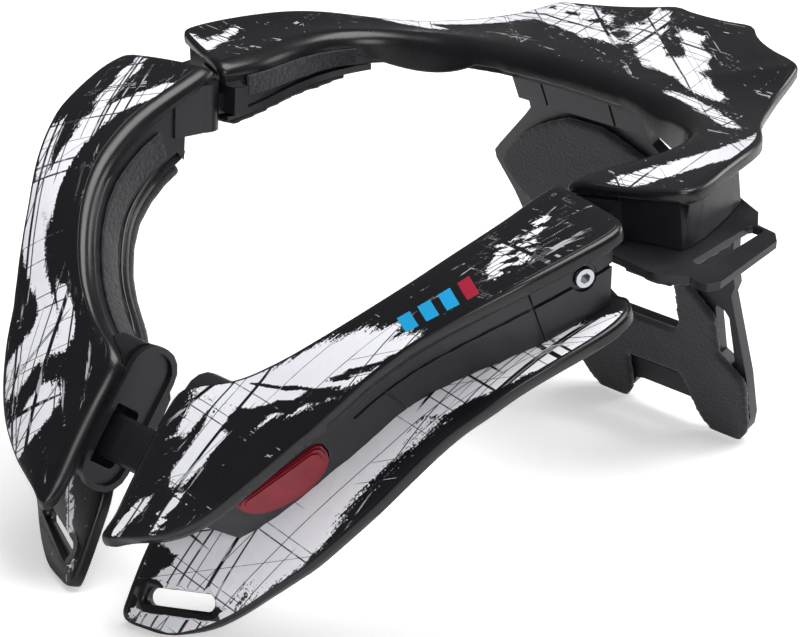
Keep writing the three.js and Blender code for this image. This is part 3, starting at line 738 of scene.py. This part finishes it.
@dataclass
class StrapSlot:
    """The strap slot of a chest plate, with its raised black surround."""

    side: Side
    centre: tuple[float, float, float] = (31.0, 9.2, 9.6)
    out: tuple[float, float, float] = (0.22, -0.886, 0.41)
    run: tuple[float, float, float] = (23.4, 7.6, 4.0)
    half_length: float = 13.0
    half_width: float = 2.7
    border: float = 2.4
    proud: float = 0.5
    rooted: float = 2.4

    def matrix(self) -> Matrix:
        """Place of the slot, its run along X and its outward side along Z."""
        flip = Vector((self.side.value, 1, 1))
        z = (Vector(self.out) * flip).normalized()
        x = (Vector(self.run) * flip).normalized()
        y = z.cross(x).normalized()
        x = y.cross(z).normalized()
        place = Matrix((x, y, z)).transposed().to_4x4()
        return Matrix.Translation(Vector(self.centre) * flip) @ place

    def stadium(self, bm: bmesh.types.BMesh, grow: float, low: float, high: float) -> None:
        """Adds a round-ended block, grown past the slot by a margin."""
        r = self.half_width + grow
        reach = self.half_length - self.half_width
        made = bmesh.ops.create_circle(bm, cap_ends=True, radius=r, segments=32)
        for vert in made["verts"]:
            vert.co.x += reach if vert.co.x > 1e-4 else -reach if vert.co.x < -1e-4 else 0
            vert.co.z = low
        faces = list({f for v in made["verts"] for f in v.link_faces})
        grown = bmesh.ops.extrude_face_region(bm, geom=faces)
        tops = [g for g in grown["geom"] if isinstance(g, bmesh.types.BMVert)]
        bmesh.ops.translate(bm, vec=(0, 0, high - low), verts=tops)

    def cutter(self, grow: float, low: float, high: float) -> bpy.types.Object:
        """A loose block of the slot's outline, in place, for a boolean."""
        bm = bmesh.new()
        self.stadium(bm, grow, low, high)
        bmesh.ops.transform(bm, matrix=self.matrix(), verts=bm.verts[:])
        return finished(bm, "slot_tool", [])

    def cut(self, plate: bpy.types.Object) -> None:
        """Cuts the slot through a plate and raises its surround."""
        frame = self.cutter(self.border, -self.rooted, self.proud)
        tools = [(frame, "UNION"), (self.cutter(0.0, -9.0, 6.0), "DIFFERENCE")]
        for tool, operation in tools:
            modifier = plate.modifiers.new("slot", "BOOLEAN")
            modifier.operation = operation
            modifier.object = tool
            modifier.solver = "EXACT"
            with bpy.context.temp_override(object=plate, active_object=plate):
                bpy.ops.object.modifier_apply(modifier=modifier.name)
            bpy.data.objects.remove(tool)


@dataclass
class Moulding:
    """A moulded solid of the frame with its long sharp edges rounded."""

    node: str
    body: str
    radius: float = 0.8
    sharp: float = math.radians(34)
    crowding: float = 0.9

    def build(self, solid: bpy.types.Object, material: bpy.types.Material) -> bpy.types.Object:
        """Makes the rounded moulding from a merged copy of its node."""
        bm = bmesh.new()
        bm.from_mesh(solid.data)
        bmesh.ops.remove_doubles(bm, verts=bm.verts[:], dist=0.02 * MM)
        bmesh.ops.dissolve_limit(bm, angle_limit=math.radians(1), verts=bm.verts[:], edges=bm.edges[:])
        edges = self.clear_edges(bm)
        bmesh.ops.bevel(
            bm, geom=edges, offset=self.radius * MM, offset_type="OFFSET", segments=3, profile=0.5,
            affect="EDGES", clamp_overlap=True, material=-1,
        )
        mesh = bpy.data.meshes.new(self.node + "_moulding")
        bm.to_mesh(mesh)
        bm.free()
        mesh.materials.append(material)
        mesh.shade_smooth()
        mesh.set_sharp_from_angle(angle=self.sharp)
        piece = bpy.data.objects.new(self.node + "_moulding", mesh)
        bpy.context.scene.collection.objects.link(piece)
        level = piece.modifiers.new("level_faces", "WEIGHTED_NORMAL")
        level.keep_sharp = True
        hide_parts(self.node)
        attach(piece, self.body)
        return piece

    def clear_edges(self, bm: bmesh.types.BMesh) -> list[bmesh.types.BMEdge]:
        """Sharp edges with room beside them for the radius."""
        sharp = [e for e in bm.edges if len(e.link_faces) == 2 and e.calc_face_angle(0) > self.sharp]
        chosen = set(sharp)
        tight = self.crowding * MM
        side = [e for e in bm.edges if e not in chosen and e.calc_length() < 2 * tight]
        short = [e for e in sharp if e.calc_length() < tight]
        crowded = {v for e in side + short for v in e.verts}
        clear = [e for e in sharp if not crowded.intersection(e.verts)]
        LOG.info("%s: %d of %d sharp edges rounded", self.node, len(clear), len(sharp))
        return clear


@dataclass
class FoamPad:
    """A foam lining: its node's outline with swollen faces and soft, rounded edges."""

    node: str
    body: str
    fill: float = 0.9
    voxel: float = 1.1
    swell: float = 0.9
    frames: int = 12

    def build(self, nodes: dict, material: bpy.types.Material) -> bpy.types.Object:
        """Makes the pad from a merged copy of its node."""
        bm = bmesh.new()
        bm.from_mesh(nodes[self.node].data)
        bmesh.ops.remove_doubles(bm, verts=bm.verts[:], dist=0.01 * MM)
        bmesh.ops.dissolve_limit(bm, angle_limit=math.radians(2), verts=bm.verts[:], edges=bm.edges[:])
        mesh = bpy.data.meshes.new(self.node + "_foam")
        bm.to_mesh(mesh)
        bm.free()
        piece = bpy.data.objects.new(self.node + "_foam", mesh)
        bpy.context.scene.collection.objects.link(piece)
        remesh = piece.modifiers.new("voxels", "REMESH")
        remesh.mode = "VOXEL"
        remesh.voxel_size = self.voxel * MM
        rounded = piece.modifiers.new("rounded", "SMOOTH")
        rounded.factor = 0.5
        rounded.iterations = 3
        for modifier in (remesh, rounded):
            self.apply(piece, modifier)
        self.inflate(piece)
        mesh.materials.clear()
        piece.data.materials.append(material)
        piece.data.shade_smooth()
        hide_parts(self.node)
        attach(piece, self.body)
        return piece

    @staticmethod
    def apply(piece: bpy.types.Object, modifier: bpy.types.Modifier) -> None:
        """Applies one modifier to a piece."""
        with bpy.context.temp_override(object=piece, active_object=piece):
            bpy.ops.object.modifier_apply(modifier=modifier.name)

    def inflate(self, piece: bpy.types.Object) -> None:
        """Swells the foam with a short pressure simulation, each point moved no further than swell."""
        scene = bpy.context.scene
        start = [v.co.copy() for v in piece.data.vertices]
        cloth = piece.modifiers.new("pressure", "CLOTH")
        cloth.settings.use_pressure = True
        cloth.settings.uniform_pressure_force = 2.0
        cloth.settings.effector_weights.gravity = 0.0
        cloth.settings.quality = 3
        cloth.settings.tension_stiffness = 30
        cloth.settings.compression_stiffness = 30
        cloth.settings.bending_stiffness = 4
        cloth.point_cache.frame_start = 1
        cloth.point_cache.frame_end = self.frames
        for number in range(1, self.frames + 1):
            scene.frame_set(number)
        self.apply(piece, cloth)
        scene.frame_set(1)
        cap = self.swell * MM
        for vert, old in zip(piece.data.vertices, start):
            move = vert.co - old
            if move.length > cap:
                vert.co = old + move * (cap / move.length)


@dataclass
class Studio:
    """Plain pale floor, soft studio lights and the camera at the photograph's angle."""

    focal_px: float = 2500.0
    frame_px: float = 800.0
    sensor_mm: float = 36.0
    centre: tuple[float, float, float] = (564.71, -411.51, 348.18)
    right: tuple[float, float, float] = (0.67695, 0.73490, 0.04070)
    up: tuple[float, float, float] = (-0.27714, 0.20328, 0.93908)
    back: tuple[float, float, float] = (0.68186, -0.64699, 0.34128)
    floor_half_m: float = 14.0
    surround_light: float = 0.13
    surround_seen: float = 0.95
    floor_lift: float = 0.42

    def floor(self) -> None:
        """Adds the floor under the brace's lowest point."""
        bm = bmesh.new()
        bmesh.ops.create_grid(bm, x_segments=2, y_segments=2, size=self.floor_half_m)
        mesh = bpy.data.meshes.new("floor")
        bm.to_mesh(mesh)
        bm.free()
        n = Nodes("studio_floor")
        seen = n.add("ShaderNodeLightPath").outputs["Is Camera Ray"]
        away = n.add("ShaderNodeVectorMath", {"operation": "LENGTH"}, i0=n.object).outputs["Value"]
        lift = n.math("MULTIPLY_ADD", n.step(away, 0.3, 1.6), 0.53, self.floor_lift)
        n.shade(
            Base_Color=linear("#F4F4F6"), Roughness=0.7, Emission_Color=linear("#FFFFFF"),
            Emission_Strength=n.math("MULTIPLY", seen, lift),
        )
        mesh.materials.append(n.material)
        floor = bpy.data.objects.new("floor", mesh)
        floor.location.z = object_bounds()[0][2] - 0.0002
        bpy.context.scene.collection.objects.link(floor)
        floor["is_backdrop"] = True

    def lights(self) -> None:
        """Adds three soft boxes and a pale surround."""
        boxes = (
            ("overhead", (0.25, 0.1, 1.4), 1.1, 22.0),
            ("left_front", (1.3, -1.1, 0.8), 0.8, 9.0),
            ("rear", (0.5, 1.5, 0.6), 0.8, 8.0),
        )
        for name, place, size, power in boxes:
            light = bpy.data.lights.new(name, "AREA")
            light.size = size
            light.energy = power
            lamp = bpy.data.objects.new(name, light)
            lamp.location = place
            lamp.rotation_euler = (Vector((0, 0, 0.08)) - Vector(place)).to_track_quat("-Z", "Y").to_euler()
            bpy.context.scene.collection.objects.link(lamp)
        world = bpy.data.worlds.new("surround")
        world.use_nodes = True
        tree = world.node_tree
        seen = tree.nodes.new("ShaderNodeLightPath").outputs["Is Camera Ray"]
        strength = tree.nodes.new("ShaderNodeMapRange")
        strength.inputs["To Min"].default_value = self.surround_light
        strength.inputs["To Max"].default_value = self.surround_seen
        tree.links.new(seen, strength.inputs["Value"])
        surround = tree.nodes["Background"]
        surround.inputs["Color"].default_value = linear("#FFFFFF")
        tree.links.new(strength.outputs[0], surround.inputs["Strength"])
        bpy.context.scene.world = world
        bpy.context.scene.view_settings.view_transform = "Standard"

    def camera(self) -> None:
        """Adds the camera where the photograph's camera stood."""
        data = bpy.data.cameras.new("photo_view")
        data.sensor_width = self.sensor_mm
        data.lens = self.focal_px / self.frame_px * self.sensor_mm
        data.clip_start = 0.01
        eye = bpy.data.objects.new("photo_view", data)
        turn = Matrix((self.right, self.up, self.back)).transposed().to_4x4()
        place = (Vector(self.centre) + REST_SHIFT) * MM
        eye.matrix_world = Matrix.Translation(place) @ turn
        bpy.context.scene.collection.objects.link(eye)
        bpy.context.scene.camera = eye

    def build(self) -> None:
        """Sets up the studio."""
        self.camera()
        self.floor()
        self.lights()


# Print of each plate: brushed fields, placed along and across it from its first row's neck edge
REAR_PRINT = (
    Stroke(20, 20, 44, 11, 8, 1.0),
    Stroke(52, 26, 60, 14, 14, 1.0),
    Stroke(92, 12, 40, 7, -8, 0.9),
    Stroke(128, 26, 50, 9, 10, 1.0),
    Stroke(150, 46, 46, 8, 38, 1.0),
    Stroke(164, 38, 52, 10, 38, 1.0),
    Stroke(178, 58, 34, 7, 62, 1.0),
    Stroke(204, 44, 60, 13, 24, 1.0),
    Stroke(212, 62, 40, 8, 24, 1.0),
    Stroke(238, 36, 46, 8, -30, 1.0),
    Stroke(258, 22, 26, 5, 12, 0.9),
    Stroke(330, 24, 24, 5, -20, 0.8),
    Stroke(360, 24, 48, 26, -16, 1.0),
    Stroke(386, 16, 40, 12, -8, 1.0),
)
LEFT_ARM_PRINT = (
    Stroke(12, 8, 26, 3.5, 24, 0.9),
    Stroke(22, 22, 22, 3, 16, 0.8),
    Stroke(46, 24, 34, 9, 14, 1.0),
    Stroke(52, 14, 22, 4, 20, 0.9),
    Stroke(84, 24, 54, 38, 6, 1.0),
    Stroke(66, 34, 34, 9, 10, -1.0),
    Stroke(92, 38, 24, 5, 30, -1.0),
    Stroke(78, 30, 46, 3, 84, -1.0),
    Stroke(150, 20, 24, 4, -38, 1.0),
    Stroke(156, 23, 18, 3, -38, 0.9),
    Stroke(168, 16, 16, 3, -30, 0.8),
)
RIGHT_ARM_PRINT = (
    Stroke(24, 24, 36, 12, -18, 1.0),
    Stroke(54, 36, 50, 12, -10, 1.0),
    Stroke(66, 22, 36, 7, -20, 1.0),
    Stroke(86, 36, 40, 15, -4, 1.0),
    Stroke(94, 26, 44, 4, 40, -1.0),
    Stroke(116, 32, 44, 7, -2, 1.0),
    Stroke(126, 20, 60, 8, -14, 1.0),
    Stroke(158, 12, 40, 6, -26, 1.0),
    Stroke(166, 24, 36, 6, 14, 1.0),
)
LEFT_CHEST_PRINT = (
    Stroke(40, 22, 84, 40, 6, 1.0),
    Stroke(66, 44, 80, 24, 4, 1.0),
    Stroke(18, 4, 34, 8, 20, -1.0),
    Stroke(88, 8, 40, 8, 16, -1.0),
    Stroke(108, 34, 70, 26, 6, 1.0),
    Stroke(126, 46, 60, 9, 4, 1.0),
    Stroke(104, 24, 44, 3, 20, -1.0),
    Stroke(156, 40, 34, 8, 8, 0.9),
)
RIGHT_CHEST_PRINT = (
    Stroke(20, 12, 26, 5, 30, 0.9),
    Stroke(44, 26, 36, 7, 24, 1.0),
    Stroke(70, 34, 44, 10, 12, 1.0),
    Stroke(116, 40, 50, 12, -10, 1.0),
    Stroke(124, 26, 40, 6, -18, 1.0),
)


# Mouldings with rounded edges, and the body that each rides
MOULDED_BODIES = {
    "rear_frame": "rear_body",
    "back_frame": "rear_body",
    "left_shoulder_plate": "rear_body",
    "right_shoulder_plate": "rear_body",
}


@dataclass
class NeckBrace:
    """The whole brace: printed plates, moulded bodies, foam and small parts."""

    nodes: dict
    made: list[bpy.types.Object] = field(default_factory=list)

    def finishes(self) -> None:
        """Makes each finish once."""
        self.film = PrintedFilm().build()
        self.nylon = MouldedNylon().build()
        self.knit = KnitFoam().build()
        self.tape = LoopTape().build()
        self.steel = PlatedSteel().build()
        self.red = RedButtonPlastic().build()

    def plates(self) -> None:
        """Builds the five printed plates."""
        rear = REAR_COVER_HALF + mirrored(REAR_COVER_HALF[-2::-1])
        plates = [
            PrintedPlate(
                "rear_printed_cover", "rear_cover", rear, "rear_body", REAR_PRINT,
                crown=-0.8, lip=7.0, skirt=3.5, corner_skirt=5.2, neck_band=4.6,
            )
        ]
        prints = {
            Side.LEFT: (LEFT_ARM_PRINT, LEFT_CHEST_PRINT),
            Side.RIGHT: (RIGHT_ARM_PRINT, RIGHT_CHEST_PRINT),
        }
        for side in Side:
            own = (lambda rows: rows) if side is Side.LEFT else mirrored
            arm_print, chest_print = prints[side]
            plates.append(
                PrintedPlate(
                    f"{side.word}_printed_cover", f"{side.word}_arm_cover", own(ARM_COVER_ROWS), side.body,
                    arm_print, lip=4.5, skirt=2.0, neck_band=2.6, bars=side is Side.LEFT,
                )
            )
            plates.append(
                PrintedPlate(
                    f"{side.word}_printed_chest_plate", f"{side.word}_chest_plate", own(CHEST_PLATE_ROWS),
                    side.body, chest_print, thickness=4.2, rim=1.4, lip=1.4, crown=0.2,
                )
            )
        for plate in plates:
            piece = plate.build([self.film])
            if "chest" in plate.name:
                StrapSlot(Side.LEFT if plate.name.startswith("left") else Side.RIGHT).cut(piece)
            self.note(piece)

    def foam(self) -> None:
        """Builds the six foam pads."""
        pads = [FoamPad("upper_back_pad", "rear_body"), FoamPad("lower_back_pad", "rear_body")]
        for side in Side:
            pads.append(FoamPad(f"{side.word}_shoulder_pad", "rear_body"))
            pads.append(FoamPad(f"{side.word}_chest_pad", side.body))
        for pad in pads:
            self.note(pad.build(self.nodes, self.knit))

    def mouldings(self) -> None:
        """Dresses the frame's own solids that stay: mouldings, tape, screws, pins and button."""
        finish = {
            "loop": self.tape, "screw": self.steel, "pin": self.steel, "button": self.red,
        }
        for name, node in self.nodes.items():
            material = next((m for word, m in finish.items() if word in name), self.nylon)
            node.data.materials.clear()
            node.data.materials.append(material)
            if name in MOULDED_BODIES:
                self.note(Moulding(name, MOULDED_BODIES[name]).build(node, self.nylon))
                continue
            weld = node.modifiers.new("weld", "WELD")
            weld.merge_threshold = 0.02 * MM
            node.data.shade_smooth()
            split = node.modifiers.new("sharp", "EDGE_SPLIT")
            split.split_angle = math.radians(32)

    def note(self, piece: bpy.types.Object) -> None:
        """Reports one finished piece."""
        self.made.append(piece)
        LOG.info("%s: %d faces", piece.name, len(piece.data.polygons))

    def build(self) -> None:
        """Builds and dresses everything in order."""
        self.finishes()
        self.mouldings()
        self.plates()
        self.foam()


def main() -> None:
    """Loads the frame, sets the studio, builds the brace and logs each finished piece's face count."""
    logging.basicConfig(level=logging.INFO, format="%(name)s %(message)s")
    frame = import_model()
    Studio().build()
    NeckBrace(frame["nodes"]).build()


if __name__ == "__main__":
    main()
